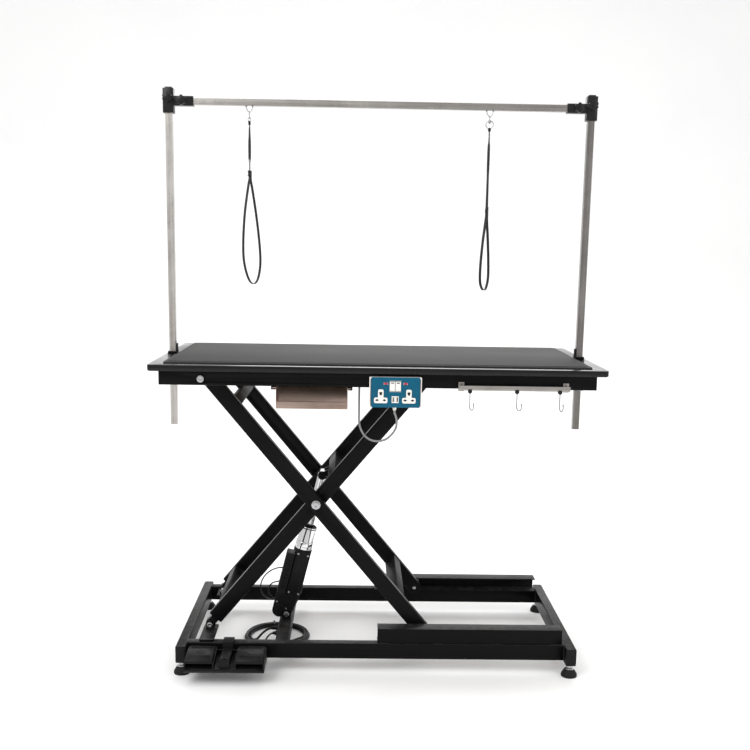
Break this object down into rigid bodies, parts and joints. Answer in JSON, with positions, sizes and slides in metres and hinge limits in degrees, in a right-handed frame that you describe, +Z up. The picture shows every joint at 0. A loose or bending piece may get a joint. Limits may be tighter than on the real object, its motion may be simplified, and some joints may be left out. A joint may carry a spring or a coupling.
{
  "type": "electric grooming table",
  "caption": "Electric scissor-lift pet grooming table with a rubber mat top, crossbar on two posts with grooming nooses, tool tray, socket box, hook rail and foot pedal.",
  "frame": {"origin": "on the floor under the middle of the outline", "axes": "+X along the table's long side towards the roller end, -Y towards the front with the pedal, +Z up"},
  "size_m": [1.284, 0.664, 1.66],
  "materials": {
    "frame_black": "satin black powder coat",
    "zinc": "bright zinc plate",
    "black_plastic": "fine-textured black plastic",
    "stainless": "brushed stainless steel",
    "rubber": "matt black rubber",
    "board": "raw plywood",
    "gloss_rim": "glossy black edge profile",
    "mat_rubber": "fine-textured dark grey rubber",
    "nylon": "white nylon",
    "panel_teal": "teal face plate",
    "outlet_white": "white plastic",
    "webbing": "woven black nylon",
    "cable_grey": "grey cable sheath",
    "cable_black": "black cable sheath"
  },
  "bodies": {
    "base": {"base_long_rails": "frame_black", "base_end_rails": "frame_black", "base_end_plugs": "black_plastic", "base_channels": "frame_black", "base_cross_tube": "frame_black", "base_brackets": "frame_black", "base_pins": "zinc", "feet": "rubber", "pedal_base": "black_plastic", "pedal_cord": "cable_black", "mains_cord": "cable_black", "mains_coil": "cable_black", "mains_plug": "rubber"},
    "inner_frame": {"inner_arms": "frame_black", "inner_ties": "frame_black", "actuator_lug": "frame_black", "upper_axles": "zinc"},
    "outer_frame": {"outer_arms": "frame_black", "outer_ties": "frame_black", "outer_bolts": "zinc"},
    "table": {"table_board": "board", "table_rim": "gloss_rim", "mat": "mat_rubber", "sub_frame_rails": "frame_black", "sub_frame_ends": "frame_black", "top_channels": "frame_black", "top_pivot_bolts": "zinc", "tray_runners": "frame_black", "socket_box": "outlet_white", "socket_panel": "panel_teal", "socket_outlets": "outlet_white", "hook_rail": "zinc", "post_holders": "black_plastic", "socket_cord": "cable_grey"},
    "actuator": {"actuator_body": "black_plastic", "actuator_tube": "stainless"},
    "rod": {"actuator_rod": "stainless"},
    "lower_roller_pair": {"lower_rollers": "nylon"},
    "upper_roller_pair": {"upper_rollers": "nylon"},
    "pedal_left": {"pedal_left": "black_plastic"},
    "pedal_right": {"pedal_right": "black_plastic"},
    "tray": {"tool_tray": "stainless"},
    "rocker_left": {"rocker_left": "outlet_white"},
    "rocker_right": {"rocker_right": "outlet_white"},
    "hook_a": {"rail_hook_a": "zinc"},
    "hook_b": {"rail_hook_b": "zinc"},
    "hook_c": {"rail_hook_c": "zinc"},
    "posts": {"posts": "stainless"},
    "crossbar": {"crossbar": "stainless", "clamps": "black_plastic", "noose_hook_left": "zinc", "noose_hook_right": "zinc"},
    "holder_knob_left": {"holder_knob_left": "black_plastic"},
    "holder_knob_right": {"holder_knob_right": "black_plastic"},
    "post_knob_left": {"post_knob_left": "black_plastic"},
    "post_knob_right": {"post_knob_right": "black_plastic"},
    "bar_knob_left": {"bar_knob_left": "black_plastic"},
    "bar_knob_right": {"bar_knob_right": "black_plastic"},
    "noose_left": {"noose_left": "webbing"},
    "noose_right": {"noose_right": "webbing"}
  },
  "joints": [
    {"name": "lift", "type": "hinge", "parent": "base", "child": "inner_frame", "pos_m": [-0.484, 0.022, 0.11], "axis": [0, -1, 0], "range_deg": [-32.16, 4.34]},
    {"name": "scissor_cross", "type": "hinge", "parent": "inner_frame", "child": "outer_frame", "pos_m": [-0.17197, 0.022, 0.48397], "axis": [0, -1, 0], "range_deg": [-8.69, 64.33]},
    {"name": "table_level", "type": "hinge", "parent": "outer_frame", "child": "table", "pos_m": [-0.484, 0.022, 0.85795], "axis": [0, -1, 0], "range_deg": [-32.17, 4.35]},
    {"name": "actuator_tilt", "type": "hinge", "parent": "base", "child": "actuator", "pos_m": [-0.268, 0.022, 0.092], "axis": [0, -1, 0], "range_deg": [-39.45, 5.37]},
    {"name": "rod_tilt", "type": "hinge", "parent": "inner_frame", "child": "rod", "pos_m": [-0.1601, 0.022, 0.53098], "axis": [0, -1, 0], "range_deg": [-7.29, 1.03]},
    {"name": "lower_roller_spin", "type": "hinge", "parent": "outer_frame", "child": "lower_roller_pair", "pos_m": [0.14005, 0.022, 0.11], "axis": [0, 1, 0], "continuous": true},
    {"name": "upper_roller_spin", "type": "hinge", "parent": "inner_frame", "child": "upper_roller_pair", "pos_m": [0.14005, 0.022, 0.85795], "axis": [0, 1, 0], "continuous": true},
    {"name": "pedal_left_press", "type": "hinge", "parent": "base", "child": "pedal_left", "pos_m": [-0.494, -0.239, 0.069], "axis": [1, 0, 0], "range_deg": [0, 7], "stiffness_Nm_per_rad": 2, "springref_deg": -11.46},
    {"name": "pedal_right_press", "type": "hinge", "parent": "base", "child": "pedal_right", "pos_m": [-0.346, -0.239, 0.069], "axis": [1, 0, 0], "range_deg": [0, 7], "stiffness_Nm_per_rad": 2, "springref_deg": -11.46},
    {"name": "tray_slide", "type": "slide", "parent": "table", "child": "tray", "axis": [0, -1, 0], "range_m": [0, 0.05]},
    {"name": "rocker_left_tilt", "type": "hinge", "parent": "table", "child": "rocker_left", "pos_m": [0.0366, -0.293, 0.84895], "axis": [-1, 0, 0], "range_deg": [0, 12]},
    {"name": "rocker_right_tilt", "type": "hinge", "parent": "table", "child": "rocker_right", "pos_m": [0.0524, -0.293, 0.84895], "axis": [-1, 0, 0], "range_deg": [0, 12]},
    {"name": "hook_a_slide", "type": "slide", "parent": "table", "child": "hook_a", "axis": [1, 0, 0], "range_m": [-0.008, 0.11]},
    {"name": "hook_b_slide", "type": "slide", "parent": "table", "child": "hook_b", "axis": [1, 0, 0], "range_m": [-0.11, 0.1]},
    {"name": "hook_c_slide", "type": "slide", "parent": "table", "child": "hook_c", "axis": [1, 0, 0], "range_m": [-0.105, 0.006]},
    {"name": "posts_slide", "type": "slide", "parent": "table", "child": "posts", "axis": [0, 0, 1], "range_m": [-0.1, 0.13]},
    {"name": "crossbar_slide", "type": "slide", "parent": "posts", "child": "crossbar", "axis": [0, 0, 1], "range_m": [-0.085, 0]},
    {"name": "holder_knob_left_turn", "type": "hinge", "parent": "table", "child": "holder_knob_left", "pos_m": [-0.62, 0.032, 0.85795], "axis": [1, 0, 0], "continuous": true},
    {"name": "holder_knob_right_turn", "type": "hinge", "parent": "table", "child": "holder_knob_right", "pos_m": [0.62, 0.032, 0.85795], "axis": [1, 0, 0], "continuous": true},
    {"name": "post_knob_left_turn", "type": "hinge", "parent": "crossbar", "child": "post_knob_left", "pos_m": [-0.61, 0.032, 1.62795], "axis": [0, 1, 0], "continuous": true},
    {"name": "post_knob_right_turn", "type": "hinge", "parent": "crossbar", "child": "post_knob_right", "pos_m": [0.61, 0.032, 1.62795], "axis": [0, 1, 0], "continuous": true},
    {"name": "bar_knob_left_turn", "type": "hinge", "parent": "crossbar", "child": "bar_knob_left", "pos_m": [-0.57, 0.032, 1.62195], "axis": [0, 1, 0], "continuous": true},
    {"name": "bar_knob_right_turn", "type": "hinge", "parent": "crossbar", "child": "bar_knob_right", "pos_m": [0.57, 0.032, 1.62195], "axis": [0, 1, 0], "continuous": true},
    {"name": "noose_left_swing", "type": "hinge", "parent": "crossbar", "child": "noose_left", "pos_m": [-0.379, 0.032, 1.59395], "axis": [0, 1, 0], "range_deg": [-25, 25]},
    {"name": "noose_right_swing", "type": "hinge", "parent": "crossbar", "child": "noose_right", "pos_m": [0.316, 0.032, 1.59395], "axis": [0, 1, 0], "range_deg": [-25, 25]}
  ],
  "couplings": [
    {"joint": "scissor_cross", "follows": "lift", "ratio": -2},
    {"joint": "table_level", "follows": "lift", "ratio": 1},
    {"joint": "actuator_tilt", "follows": "lift", "ratio": 1.225},
    {"joint": "rod_tilt", "follows": "lift", "ratio": 0.225}
  ]
}
